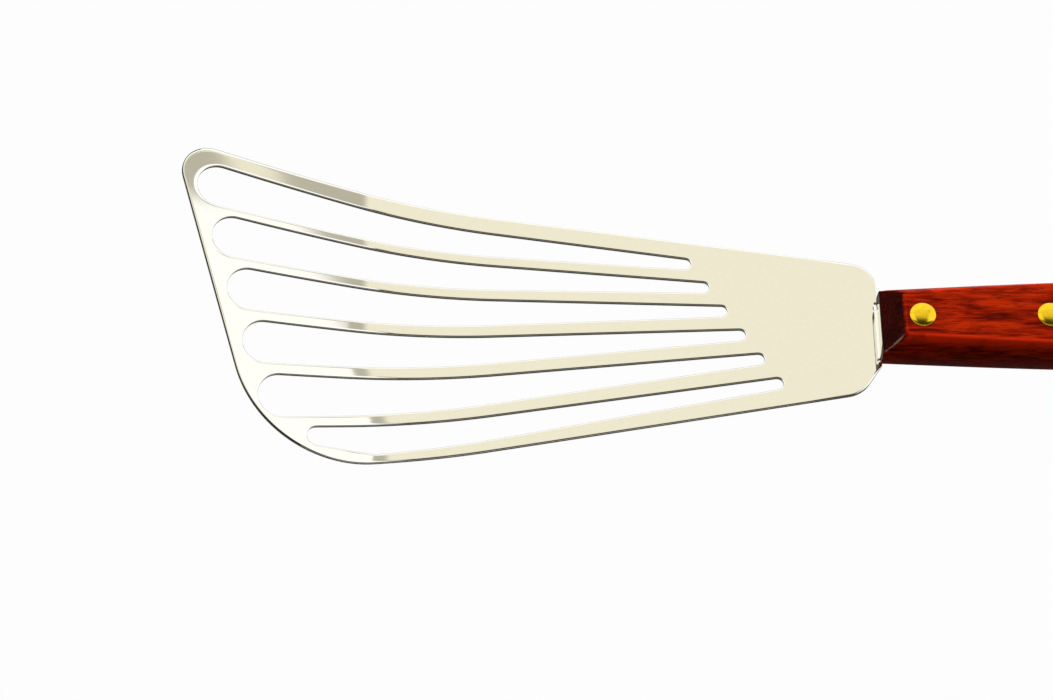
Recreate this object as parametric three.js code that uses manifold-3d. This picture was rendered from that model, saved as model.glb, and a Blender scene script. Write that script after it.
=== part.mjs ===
import * as THREE from 'three';
import { mergeVertices } from 'three/addons/utils/BufferGeometryUtils.js';
import Module from 'manifold-3d';

const wasm = await Module();
wasm.setup();

// Slotted turner in millimetres: tip towards -X, handle towards +X, blade underside at Z = 0.
// X = 0 is close to the heel, where the blade bends up into the neck.

// Blade sheet and its side profile
const sheet = 0.9;
const curlStart = -84;
const curlRadius = 112;
const curlAngle = THREE.MathUtils.degToRad(16.5);
const tipRadius = 600;
const foldLine = 1.2;
const bendRadius = 0.75;
const bendAngle = Math.PI / 2;
const tangRise = 6;
const arcStep = 0.4;
const curlSteps = 6;
const tipStep = 12;
const bendSteps = 3;

// Blade outline corners in the flat blank: X, Y, corner radius
const heelEdge = 2.1;
const tipCorner = [-158.9, 41, 6.5];
const sweepCorner = [-133.8, -37.2, 28];
const heelFoot = [-2.8, -14.9, 7];
const heelLow = [heelEdge, -7.8, 0.5];
const heelHigh = [heelEdge, 17.4, 6.5];

// Slots: round at both ends, fanned out in even steps
const slotCount = 5;
const slotRootRadius = 1.4;
const slotTipRadius = 5.1;
const slotRoot = new THREE.Vector2(-40.9, 18.1);
const slotRootStep = new THREE.Vector2(3.9, -6.08);
const slotTip = new THREE.Vector2(-147.3, 30.1);
const slotTipStep = new THREE.Vector2(4.1, -12.45);
const lastTip = new THREE.Vector2(-122.6, -28.2);
const lastTipRadius = 2.2;
const lastBelly = new THREE.Vector2(-109.8, -27.5);
const lastBellyRadius = 3.4;

// Neck and tang
const neckWidth = 12.6;
const tangWidth = 9.6;
const tangEndWidth = 8.4;
const tangPast = 8;
const tangCorner = 3;
const reliefWidth = 1.6;
const lowReliefWidth = 0.5;
const neckTaper = 3;
const taperLead = 0.4;

// Handle
const handleLength = 112;
const topHeight = 10.9;
const underHeight = 1.6;
const frontBevel = 4.6;
const frontReveal = 0.05;
const buttRadius = 7.5;
const edgeRadius = 1.3;
const sideCurve = 3;
const baseWidth = 16.6;
const baseSwell = 4;
const crownWidth = 9.75;
const crownSwell = 6.4;
const widestAt = 0.62;
const narrowing = 0.25;
const lengthSteps = 16;
const buttSteps = 6;
const sideSteps = 4;
const roundSteps = 3;

// Rivets
const rivetFirst = 8.65;
const rivetPitch = 28;
const rivetSide = -0.45;
const rivetNames = ['front', 'middle', 'rear'];
const headRadius = 2.95;
const headRim = 0.35;
const headDome = 0.95;
const barrelRadius = 1.9;
const postRadius = 1.2;
const postShort = 0.6;
const rivetSegments = 24;
const domeSteps = 5;

// Clearances
const tangFit = 0.15;
const riserFit = 0.25;
const barrelFit = 0.15;
const postFit = 0.1;
const headFit = 0.15;

// How far cutters reach past what they cut, and a run longer than any sheet
const cutPast = 2;
const farRun = 500;

const riserMiddle = foldLine + bendRadius;
const riserLength = tangRise - 2 * bendRadius;
const crankLength = 2 * bendRadius * bendAngle + riserLength;
const blankShift = crankLength - 2 * bendRadius;
const handleFront = riserMiddle - sheet / 2 + frontReveal;
const tangTop = tangRise + sheet;
const tangEnd = handleFront + rivetFirst + rivetPitch * (rivetNames.length - 1) + tangPast;

// A point on the sheet's middle line after walking a distance through runs of [length, turn]
function walk(runs, distance) {
  let x = 0;
  let z = 0;
  let angle = 0;
  let left = distance;
  for (const [length, turn] of runs) {
    const part = Math.min(left, length);
    const swing = turn * part / length;
    const chord = swing === 0 ? part : 2 * part / swing * Math.sin(swing / 2);
    x += chord * Math.cos(angle + swing / 2);
    z += chord * Math.sin(angle + swing / 2);
    angle += swing;
    left -= part;
    if (left <= 0) break;
  }
  return { x, z, angle };
}

const curlRuns = [[curlRadius * curlAngle, curlAngle], [farRun, farRun / tipRadius]];
const crankRuns = [
  [bendRadius * bendAngle, bendAngle],
  [riserLength, 0],
  [bendRadius * bendAngle, -bendAngle],
  [farRun, 0],
];

// Bends a point of the flat blank to the finished profile
function bendPoint(point) {
  const lift = point.z - sheet / 2;
  let way = { x: point.x, z: 0, angle: 0 };
  if (point.x < curlStart) {
    const curl = walk(curlRuns, curlStart - point.x);
    way = { x: curlStart - curl.x, z: curl.z, angle: -curl.angle };
  }
  const inNeck = Math.abs(point.y) < (neckWidth + lowReliefWidth) / 2;
  if (point.x > foldLine && inNeck) {
    way = walk(crankRuns, point.x - foldLine);
    way.x += foldLine;
  }
  point.x = way.x - lift * Math.sin(way.angle);
  point.z = sheet / 2 + way.z + lift * Math.cos(way.angle);
}

// Corners [x, y, radius] to a closed outline with rounded corners
function roundedOutline(corners) {
  const points = [];
  corners.forEach(([x, y, radius = 0], index) => {
    const corner = new THREE.Vector2(x, y);
    const [bx, by] = corners[(index + corners.length - 1) % corners.length];
    const [ax, ay] = corners[(index + 1) % corners.length];
    if (radius === 0) {
      points.push(corner);
      return;
    }
    const before = new THREE.Vector2(bx, by).sub(corner).normalize();
    const after = new THREE.Vector2(ax, ay).sub(corner).normalize();
    const half = Math.acos(before.dot(after)) / 2;
    const middle = before.clone().add(after).normalize();
    const centre = corner.clone().addScaledVector(middle, radius / Math.sin(half));
    const start = corner.clone().addScaledVector(before, radius / Math.tan(half)).sub(centre);
    const turn = Math.sign(before.cross(after)) * -(Math.PI - 2 * half);
    const steps = Math.max(5, Math.ceil(Math.abs(turn) / arcStep * 2));
    for (let i = 0; i <= steps; i++) {
      const origin = new THREE.Vector2();
      points.push(start.clone().rotateAround(origin, turn * i / steps).add(centre));
    }
  });
  return points;
}

// Outline round a row of circles [centre, radius], joined by their outer tangents
function beltOutline(circles) {
  const points = [];
  const count = circles.length;
  const angleOut = circles.map(([centre, radius], index) => {
    const [next, nextRadius] = circles[(index + 1) % count];
    const run = next.clone().sub(centre);
    return run.angle() - Math.acos((radius - nextRadius) / run.length());
  });
  circles.forEach(([centre, radius], index) => {
    const from = angleOut[(index + count - 1) % count];
    const sweep = THREE.MathUtils.euclideanModulo(angleOut[index] - from, 2 * Math.PI);
    const steps = Math.max(2, Math.ceil(sweep / arcStep));
    for (let i = 0; i <= steps; i++) {
      const angle = from + sweep * i / steps;
      const reach = new THREE.Vector2(Math.cos(angle), Math.sin(angle));
      points.push(reach.multiplyScalar(radius).add(centre));
    }
  });
  return points;
}

function plainGeometry(geometry) {
  const copy = geometry.clone();
  copy.deleteAttribute('normal');
  copy.deleteAttribute('uv');
  return mergeVertices(copy, 1e-4);
}

function toSolid(geometry) {
  const plain = plainGeometry(geometry);
  const mesh = new wasm.Mesh({
    numProp: 3,
    vertProperties: new Float32Array(plain.attributes.position.array),
    triVerts: new Uint32Array(plain.index.array),
  });
  return new wasm.Manifold(mesh);
}

function toGeometry(solid) {
  const mesh = solid.getMesh();
  const geometry = new THREE.BufferGeometry();
  geometry.setAttribute('position', new THREE.BufferAttribute(mesh.vertProperties, 3));
  geometry.setIndex(new THREE.BufferAttribute(mesh.triVerts, 1));
  geometry.computeVertexNormals();
  return geometry;
}

// A closed body through rings of equal point counts
function loft(rings) {
  const positions = rings.flat().flatMap((point) => point.toArray());
  const size = rings[0].length;
  const index = [];
  for (let i = 0; i + 1 < rings.length; i++) {
    for (let j = 0; j < size; j++) {
      const a = i * size + j;
      const b = i * size + (j + 1) % size;
      index.push(a, b, b + size, a, b + size, a + size);
    }
  }
  const last = (rings.length - 1) * size;
  for (let j = 1; j + 1 < size; j++) {
    index.push(0, j + 1, j);
    index.push(last, last + j, last + j + 1);
  }
  const geometry = new THREE.BufferGeometry();
  geometry.setAttribute('position', new THREE.Float32BufferAttribute(positions, 3));
  geometry.setIndex(index);
  return geometry;
}

// Splits every triangle that crosses a plane X = station, so the sheet can be bent there
function sliceAt(triangles, station) {
  const result = [];
  const cross = (a, b) => {
    const [low, high] = a.x < b.x ? [a, b] : [b, a];
    const point = low.clone().lerp(high, (station - low.x) / (high.x - low.x));
    point.x = station;
    return point;
  };
  for (const triangle of triangles) {
    const sides = triangle.map((point) => Math.sign(point.x - station));
    if (!(sides.includes(1) && sides.includes(-1))) {
      result.push(triangle);
      continue;
    }
    const ring = [];
    triangle.forEach((point, index) => {
      const next = (index + 1) % 3;
      ring.push([point, sides[index]]);
      if (sides[index] * sides[next] < 0) ring.push([cross(point, triangle[next]), 0]);
    });
    for (const side of [1, -1]) {
      const part = ring.filter((entry) => entry[1] !== -side).map((entry) => entry[0]);
      for (let i = 1; i + 1 < part.length; i++) result.push([part[0], part[i], part[i + 1]]);
    }
  }
  return result;
}

function upright(radius, low, high) {
  const geometry = new THREE.CylinderGeometry(radius, radius, high - low, rivetSegments);
  return geometry.rotateX(Math.PI / 2).translate(0, 0, (low + high) / 2);
}

// Blade, neck and tang: one sheet, cut flat and then bent
function buildBlade() {
  const tangStart = foldLine + crankLength - taperLead;
  const blankEnd = tangEnd + blankShift;
  const neck = neckWidth / 2;
  const relief = neck + reliefWidth;
  const lowRelief = neck + lowReliefWidth;
  const outline = roundedOutline([
    tipCorner,
    sweepCorner,
    heelFoot,
    heelLow,
    [heelEdge, -lowRelief],
    [foldLine, -lowRelief],
    [foldLine, -neck],
    [tangStart - neckTaper, -neck],
    [tangStart, -tangWidth / 2],
    [blankEnd, -tangEndWidth / 2, tangCorner],
    [blankEnd, tangEndWidth / 2, tangCorner],
    [tangStart, tangWidth / 2],
    [tangStart - neckTaper, neck],
    [foldLine, neck],
    [foldLine, relief],
    [heelEdge, relief],
    heelHigh,
  ]);
  const shape = new THREE.Shape(outline);
  for (let i = 0; i <= slotCount; i++) {
    const root = slotRoot.clone().addScaledVector(slotRootStep, i);
    const tip = slotTip.clone().addScaledVector(slotTipStep, i);
    const row = i < slotCount
      ? [[root, slotRootRadius], [tip, slotTipRadius]]
      : [[root, slotRootRadius], [lastTip, lastTipRadius], [lastBelly, lastBellyRadius]];
    shape.holes.push(new THREE.Path(beltOutline(row)));
  }
  for (let i = 0; i < rivetNames.length; i++) {
    const hole = new THREE.Path();
    const holeX = rivetX(i) + blankShift;
    hole.absarc(holeX, rivetSide, barrelRadius + barrelFit, 0, 2 * Math.PI, true);
    shape.holes.push(hole);
  }
  const blank = new THREE.ExtrudeGeometry(shape, {
    depth: sheet,
    bevelEnabled: false,
    curveSegments: rivetSegments / 2,
  });
  const curve = bendRadius * bendAngle;
  const stations = [];
  const curlEnd = curlStart - curlRadius * curlAngle;
  for (let station = curlEnd - tipStep; station > tipCorner[0]; station -= tipStep) {
    stations.push(station);
  }
  for (let i = curlSteps; i >= 0; i--) {
    stations.push(curlStart - curlRadius * curlAngle * i / curlSteps);
  }
  for (const start of [foldLine, foldLine + curve + riserLength]) {
    for (let i = 0; i <= bendSteps; i++) stations.push(start + curve * i / bendSteps);
  }
  const indexed = plainGeometry(blank);
  const corner = (i) => new THREE.Vector3().fromBufferAttribute(indexed.attributes.position, i);
  let triangles = [];
  for (let i = 0; i < indexed.index.count; i += 3) {
    triangles.push([0, 1, 2].map((k) => corner(indexed.index.getX(i + k))));
  }
  for (const station of stations) triangles = sliceAt(triangles, station);
  const flat = triangles.flat().map((point) => point.clone());
  flat.forEach(bendPoint);
  const bent = new THREE.BufferGeometry().setFromPoints(flat);
  return toGeometry(toSolid(bent));
}

function rivetX(index) {
  return handleFront + rivetFirst + rivetPitch * index;
}

// Half width of the handle at a distance from its front and a height
function handleHalf(along, height) {
  const part = Math.min(along / handleLength, 1);
  const growth = Math.sin(Math.PI / 2 * Math.min(part / widestAt, 1));
  const swell = growth - narrowing * Math.max(part - widestAt, 0);
  const base = (baseWidth + baseSwell * swell) / 2;
  const crown = (crownWidth + crownSwell * swell) / 2;
  const rise = (height - underHeight) / (topHeight - underHeight);
  let half = base - (base - crown) * rise ** sideCurve;
  const under = edgeRadius - (height - underHeight);
  if (under > 0) half -= edgeRadius - Math.sqrt(edgeRadius ** 2 - under ** 2);
  const end = along - (handleLength - buttRadius);
  if (end > 0) half -= buttRadius - Math.sqrt(Math.max(buttRadius ** 2 - end ** 2, 0));
  return half;
}

// One handle scale between two heights; slant is how far its front leans back at the top
function buildScale(low, high, slant) {
  const heights = [];
  const roundTop = Math.max(low, underHeight + edgeRadius);
  for (let i = 0; low < roundTop && i < roundSteps; i++) {
    heights.push(underHeight + edgeRadius * (1 - Math.cos(Math.PI / 2 * i / roundSteps)));
  }
  for (let i = 0; i <= sideSteps; i++) heights.push(roundTop + (high - roundTop) * i / sideSteps);
  const places = [];
  const straight = handleLength - buttRadius;
  for (let i = 0; i < lengthSteps; i++) places.push(straight * i / lengthSteps);
  for (let i = 0; i <= buttSteps; i++) {
    places.push(straight + buttRadius * Math.sin(Math.PI / 2 * i / buttSteps));
  }
  const rings = places.map((place) => {
    const side = heights.map((height) => {
      const lean = slant * (height - low) / (high - low) * (1 - place / handleLength);
      const along = place + lean;
      return new THREE.Vector3(handleFront + along, handleHalf(along, height), height);
    });
    const mirrored = side.map((point) => new THREE.Vector3(point.x, -point.y, point.z));
    return [...side, ...mirrored.reverse()];
  });
  return toSolid(loft(rings));
}

function boreScale(solid, headLow, headHigh) {
  let result = solid;
  for (let i = 0; i < rivetNames.length; i++) {
    const bore = upright(barrelRadius + barrelFit, underHeight - cutPast, topHeight + cutPast);
    const seat = upright(headRadius + headFit, headLow, headHigh);
    for (const tool of [bore, seat]) {
      result = result.subtract(toSolid(tool.translate(rivetX(i), rivetSide, 0)));
    }
  }
  return result;
}

function buildUpperScale() {
  const body = buildScale(tangTop, topHeight, frontBevel);
  return toGeometry(boreScale(body, topHeight - headRim, topHeight + cutPast));
}

// A straight cutter with an outline in plan, from a depth to above the parting plane
function pocketCutter(corners, floor) {
  const shape = new THREE.Shape(roundedOutline(corners));
  const depth = tangTop - floor + cutPast;
  return new THREE.ExtrudeGeometry(shape, { depth, bevelEnabled: false }).translate(0, 0, floor);
}

function buildLowerScale() {
  const front = handleFront - cutPast;
  const end = tangEnd + tangFit;
  const wide = tangWidth / 2 + tangFit;
  const narrow = tangEndWidth / 2 + tangFit;
  const tangPocket = pocketCutter([
    [front, -wide],
    [end, -narrow, tangCorner],
    [end, narrow, tangCorner],
    [front, wide],
  ], tangTop - sheet - tangFit);
  const back = riserMiddle + sheet / 2 + riserFit;
  const half = neckWidth / 2 + riserFit;
  const riserRecess = pocketCutter([
    [front, -half],
    [back, -half],
    [back, half],
    [front, half],
  ], underHeight - cutPast);
  let body = buildScale(underHeight, tangTop, 0);
  for (const cutter of [tangPocket, riserRecess]) body = body.subtract(toSolid(cutter));
  return toGeometry(boreScale(body, underHeight - cutPast, underHeight + headRim));
}

// Rivet halves turned about Z: a domed head on a post, and a domed head on a hollow barrel
function domePoints(top) {
  const points = [];
  for (let i = 0; i <= domeSteps; i++) {
    const angle = Math.PI / 2 * i / domeSteps;
    const radius = i === domeSteps ? 0 : headRadius * Math.cos(angle);
    points.push(new THREE.Vector2(radius, top + headDome * Math.sin(angle)));
  }
  return points;
}

function turned(points) {
  const geometry = new THREE.LatheGeometry(points, rivetSegments);
  return plainGeometry(geometry.rotateX(Math.PI / 2));
}

function buildPost() {
  const seat = topHeight - headRim;
  const tip = underHeight + headRim + postShort;
  const profile = [
    new THREE.Vector2(0, tip),
    new THREE.Vector2(postRadius, tip),
    new THREE.Vector2(postRadius, seat),
    new THREE.Vector2(headRadius, seat),
    ...domePoints(topHeight),
  ];
  return turned(profile);
}

function buildCap() {
  const seat = underHeight + headRim;
  const rim = topHeight - headRim - postFit;
  const bore = postRadius + postFit;
  const floor = seat + postShort - postFit;
  const dome = domePoints(0).map((point) => new THREE.Vector2(point.x, underHeight - point.y));
  const profile = [
    ...dome.reverse(),
    new THREE.Vector2(headRadius, seat),
    new THREE.Vector2(barrelRadius, seat),
    new THREE.Vector2(barrelRadius, rim),
    new THREE.Vector2(bore, rim),
    new THREE.Vector2(bore, floor),
    new THREE.Vector2(0, floor),
  ];
  return turned(profile);
}

const turner = new THREE.Group();
turner.name = 'slotted_turner';

function place(name, geometry, look) {
  geometry.computeVertexNormals();
  const mesh = new THREE.Mesh(geometry, new THREE.MeshStandardMaterial(look));
  mesh.name = name;
  turner.add(mesh);
  return mesh;
}

const steel = { color: 0xe4dfcf, roughness: 0.28, metalness: 1 };
const wood = { color: 0x7a1f08, roughness: 0.38, metalness: 0 };
const brass = { color: 0xd9ab2e, roughness: 0.22, metalness: 1 };

place('blade', buildBlade(), steel);
place('upper_scale', buildUpperScale(), wood);
place('lower_scale', buildLowerScale(), wood);
rivetNames.forEach((name, index) => {
  place(`${name}_rivet_post`, buildPost().translate(rivetX(index), rivetSide, 0), brass);
  place(`${name}_rivet_cap`, buildCap().translate(rivetX(index), rivetSide, 0), brass);
});

// The part's origin is the bottom centre of its bounding box
const box = new THREE.Box3().setFromObject(turner, true);
const middle = box.getCenter(new THREE.Vector3());
turner.children.forEach((mesh) => mesh.geometry.translate(-middle.x, -middle.y, -box.min.z));

export default turner;
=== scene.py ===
import math
import bmesh
import bpy
import numpy as np
from mathutils import Matrix, Vector
from mathutils.geometry import delaunay_2d_cdt


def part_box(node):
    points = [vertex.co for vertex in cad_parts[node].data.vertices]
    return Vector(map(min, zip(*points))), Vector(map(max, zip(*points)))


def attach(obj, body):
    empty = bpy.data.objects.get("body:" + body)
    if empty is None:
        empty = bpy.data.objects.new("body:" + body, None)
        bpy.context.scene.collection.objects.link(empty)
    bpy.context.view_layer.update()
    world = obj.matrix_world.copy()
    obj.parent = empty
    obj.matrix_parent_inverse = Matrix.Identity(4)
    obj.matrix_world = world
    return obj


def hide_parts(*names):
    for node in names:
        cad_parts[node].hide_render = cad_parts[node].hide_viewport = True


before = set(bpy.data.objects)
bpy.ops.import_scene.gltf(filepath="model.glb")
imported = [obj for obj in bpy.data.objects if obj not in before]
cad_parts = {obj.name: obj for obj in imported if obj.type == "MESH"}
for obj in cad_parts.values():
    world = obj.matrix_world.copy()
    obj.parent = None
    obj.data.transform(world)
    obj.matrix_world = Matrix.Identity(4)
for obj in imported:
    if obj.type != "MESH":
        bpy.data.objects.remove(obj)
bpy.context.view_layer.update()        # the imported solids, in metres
scene = bpy.context.scene
scene.view_settings.view_transform = "Standard"
mm = 0.001
quarter = math.pi / 2
print("frame loaded:", len(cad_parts), "solids")


# Node helpers

numberSocket = "NodeSocketFloat"
countSocket = "NodeSocketInt"
vectorSocket = "NodeSocketVector"
shapeSocket = "NodeSocketGeometry"
finishSocket = "NodeSocketMaterial"
noiseMean = 0.5


def addNode(tree, kind, values=None, **settings):
    node = tree.nodes.new(kind)
    for name, value in settings.items():
        setattr(node, name, value)
    for key, value in (values or {}).items():
        if isinstance(value, bpy.types.NodeSocket):
            tree.links.new(value, node.inputs[key])
        else:
            node.inputs[key].default_value = value
    return node


def calc(tree, operation, a, b=0.0):
    return addNode(tree, "ShaderNodeMath", {0: a, 1: b}, operation=operation).outputs[0]


def weightedSum(tree, *pairs):
    total = 0.0
    for value, share in pairs:
        total = calc(tree, "ADD", total, calc(tree, "MULTIPLY", value, share))
    return total


def fade(tree, value, start, end, low=0.0, high=1.0):
    values = {"Value": value, "From Min": start, "From Max": end, "To Min": low, "To Max": high}
    return addNode(tree, "ShaderNodeMapRange", values, interpolation_type="SMOOTHSTEP").outputs["Result"]


def mixColour(tree, factor, a, b):     # sockets 6, 7 and 2 are a Mix node's colours
    return addNode(tree, "ShaderNodeMix", {0: factor, 6: a, 7: b}, data_type="RGBA").outputs[2]


def ramp(tree, factor, stops):
    node = addNode(tree, "ShaderNodeValToRGB", {"Fac": factor})
    elements = node.color_ramp.elements
    while len(elements) < len(stops):
        elements.new(0.5)
    for element, (place, colour) in zip(elements, stops):
        element.position = place
        element.color = (*colour, 1)
    return node.outputs["Color"]


def stretchedNoise(tree, vector, scale, detail, distortion=0.0, turn=0.0):
    values = {"Vector": vector, "Scale": scale, "Rotation": (0, 0, turn)}
    mapped = addNode(tree, "ShaderNodeMapping", values).outputs["Vector"]
    values = {"Vector": mapped, "Scale": 1.0, "Detail": detail, "Distortion": distortion}
    return addNode(tree, "ShaderNodeTexNoise", values).outputs["Fac"]


def newGroup(name, kind, inputs, outputs):
    tree = bpy.data.node_groups.new(name, kind)
    for socketName, socketKind, value in inputs:
        socket = tree.interface.new_socket(socketName, in_out="INPUT", socket_type=socketKind)
        if value is not None:
            socket.default_value = value
    for socketName, socketKind in outputs:
        tree.interface.new_socket(socketName, in_out="OUTPUT", socket_type=socketKind)
    source = tree.nodes.new("NodeGroupInput").outputs
    target = tree.nodes.new("NodeGroupOutput").inputs
    return tree, source, target


def putOut(tree, target, values):
    for name, value in values.items():
        tree.links.new(value, target[name])
    return tree


def placeGroup(tree, group, values):
    return addNode(tree, "ShaderNodeGroup", values, node_tree=group).outputs


# Shader groups that the finishes use. Each noise is a scale for each axis, detail, distortion and turn

handlingLook = {"smudge": ((55, 70, 70), 3, 0.6), "fine": ((900, 1100, 1100), 2),
                "rub": ((160, 3800, 3800), 2, 0.2, 0.35), "rubShare": 0.6, "fineShare": 0.5}
wearAndSheenLook = {"patchEdge": (0.32, 0.62), "least": 0.35}
grainLook = {"figure": ((80, 520, 520), 6, 1.1, 0.13), "figureShare": 0.52,
             "fibre": ((230, 1900, 1900), 3, 0.3, 0.08), "fibreShare": 0.34,
             "cloud": ((90, 140, 140), 2), "cloudShare": 0.14,
             "pore": ((330, 2600, 2600), 1), "poreEdge": (0.6, 0.7)}


def makeHandlingGroup():
    look = handlingLook
    inputs = [("Vector", vectorSocket, None), ("Roughness", numberSocket, 0.2),
              ("Spread", numberSocket, 0.06)]
    outputs = [("Roughness", numberSocket), ("Speckle", numberSocket), ("Height", numberSocket)]
    tree, source, target = newGroup("handlingMarks", "ShaderNodeTree", inputs, outputs)
    smudge = stretchedNoise(tree, source["Vector"], *look["smudge"])
    fine = stretchedNoise(tree, source["Vector"], *look["fine"])
    rub = stretchedNoise(tree, source["Vector"], *look["rub"])
    cloud = calc(tree, "MULTIPLY", calc(tree, "SUBTRACT", smudge, noiseMean), source["Spread"])
    thin = calc(tree, "MULTIPLY", source["Spread"], look["rubShare"])
    lines = calc(tree, "MULTIPLY", calc(tree, "SUBTRACT", rub, noiseMean), thin)
    total = calc(tree, "ADD", source["Roughness"], calc(tree, "ADD", cloud, lines))
    height = calc(tree, "ADD", rub, calc(tree, "MULTIPLY", fine, look["fineShare"]))
    return putOut(tree, target, {"Roughness": total, "Speckle": fine, "Height": height})


# Patchy mask along marked edges, used for edge wear and a painted highlight on the wood's ridge
def makeWearAndSheenGroup():
    inputs = [("Edge", numberSocket, 0.0), ("Vector", vectorSocket, None), ("Amount", numberSocket, 0.6),
              ("Patch size", numberSocket, 120.0)]
    tree, source, target = newGroup("edgeWearAndSheen", "ShaderNodeTree", inputs, [("WearAndSheen", numberSocket)])
    values = {"Vector": source["Vector"], "Scale": source["Patch size"]}
    patch = addNode(tree, "ShaderNodeTexNoise", values).outputs["Fac"]
    patchy = fade(tree, patch, *wearAndSheenLook["patchEdge"], wearAndSheenLook["least"])
    markedEdge = calc(tree, "MULTIPLY", source["Edge"], calc(tree, "MULTIPLY", patchy, source["Amount"]))
    return putOut(tree, target, {"WearAndSheen": markedEdge})


def makeGrainGroup():
    look = grainLook
    inputs = [("Vector", vectorSocket, None)]
    outputs = [("Tone", numberSocket), ("Pores", numberSocket), ("Height", numberSocket)]
    tree, source, target = newGroup("rosewoodGrain", "ShaderNodeTree", inputs, outputs)
    figure = stretchedNoise(tree, source["Vector"], *look["figure"])
    fibre = stretchedNoise(tree, source["Vector"], *look["fibre"])
    cloud = stretchedNoise(tree, source["Vector"], *look["cloud"])
    pore = stretchedNoise(tree, source["Vector"], *look["pore"])
    tone = weightedSum(tree, (figure, look["figureShare"]), (fibre, look["fibreShare"]),
                       (cloud, look["cloudShare"]))
    pores = fade(tree, pore, *look["poreEdge"])
    height = calc(tree, "SUBTRACT", fibre, pores)
    return putOut(tree, target, {"Tone": tone, "Pores": pores, "Height": height})


handlingMarks = makeHandlingGroup()
edgeWearAndSheen = makeWearAndSheenGroup()
rosewoodGrain = makeGrainGroup()


# Finishes. A colour of a ramp comes after its place on it, and a bump is a strength and a depth in metres

steelLook = {"deep": (0.3, (0.91, 0.9, 0.83)), "pale": (0.62, (0.93, 0.92, 0.855)),
             "roughness": 0.032, "spread": 0.02, "bump": (0.02, 0.00001)}
# Near-black colours of the cut edges: rough cut metal darkened as painted shade
cutAndShadeLook = {"dark": (0.35, (0.026, 0.023, 0.02)), "pale": (0.7, (0.06, 0.054, 0.048)),
           "roughness": 0.45, "spread": 0.2, "bump": (0.3, 0.00005),
           "shear": ((2600, 2600, 260), 2)}     # upright lines left by the punch
# The ridge's bright red is edge wear and a painted highlight; the glint's pale colour is a painted glint on
# the bevel's edge
woodLook = {"dark": (0.4, (0.13, 0.004, 0.0006)), "middle": (0.49, (0.34, 0.013, 0.001)),
            "bright": (0.6, (0.6, 0.03, 0.002)), "pore": (0.03, 0.002, 0.001), "poreShare": 0.6,
            "ridgeWearAndSheen": (0.9, 0.035, 0.005), "wearAndSheen": 1.5, "wearAndSheenPatch": 240.0,
            "endDark": (0.4, (0.014, 0.001, 0.0006)), "endPale": (0.66, (0.08, 0.004, 0.002)),
            "dots": ((300, 2600, 2600), 3), "dotShare": 0.6, "rings": ((40, 260, 420), 3, 0.8),
            "ringShare": 0.4, "glint": (0.4, 0.34, 0.28),
            "roughness": 0.36, "spread": 0.14, "specular": 0.02, "bump": (0.25, 0.00006)}
brassLook = {"deep": (0.3, (0.88, 0.57, 0.015)), "pale": (0.65, (0.95, 0.66, 0.035)),
             "roughness": 0.2, "spread": 0.06, "bump": (0.03, 0.00002)}


def newMaterial(name):
    material = bpy.data.materials.new(name)
    material.use_nodes = True
    tree = material.node_tree
    where = tree.nodes.new("ShaderNodeTexCoord").outputs["Object"]
    return material, tree, tree.nodes["Principled BSDF"], where


def handled(tree, where, look):
    values = {"Vector": where, "Roughness": look["roughness"], "Spread": look["spread"]}
    return placeGroup(tree, handlingMarks, values)


def pieceMark(tree, name):
    return addNode(tree, "ShaderNodeAttribute", attribute_name=name).outputs["Fac"]


def dress(tree, surface, colour, roughness, height, bump, metallic):
    strength, depth = bump
    values = {"Height": height, "Strength": strength, "Distance": depth}
    normal = addNode(tree, "ShaderNodeBump", values).outputs["Normal"]
    tree.links.new(colour, surface.inputs["Base Color"])
    tree.links.new(roughness, surface.inputs["Roughness"])
    tree.links.new(normal, surface.inputs["Normal"])
    surface.inputs["Metallic"].default_value = metallic


def polishedMetal(name, look):
    material, tree, surface, where = newMaterial(name)
    marks = handled(tree, where, look)
    colour = ramp(tree, marks["Speckle"], [look["deep"], look["pale"]])
    dress(tree, surface, colour, marks["Roughness"], marks["Height"], look["bump"], 1.0)
    return material


# Cut edge metal with upright punch lines, darkened to near black as painted shade
def cutSteelAndShade():
    material, tree, surface, where = newMaterial("cutSteelAndShade")
    marks = handled(tree, where, cutAndShadeLook)
    shear = stretchedNoise(tree, where, *cutAndShadeLook["shear"])
    colour = ramp(tree, shear, [cutAndShadeLook["dark"], cutAndShadeLook["pale"]])
    dress(tree, surface, colour, marks["Roughness"], shear, cutAndShadeLook["bump"], 1.0)
    return material


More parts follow.
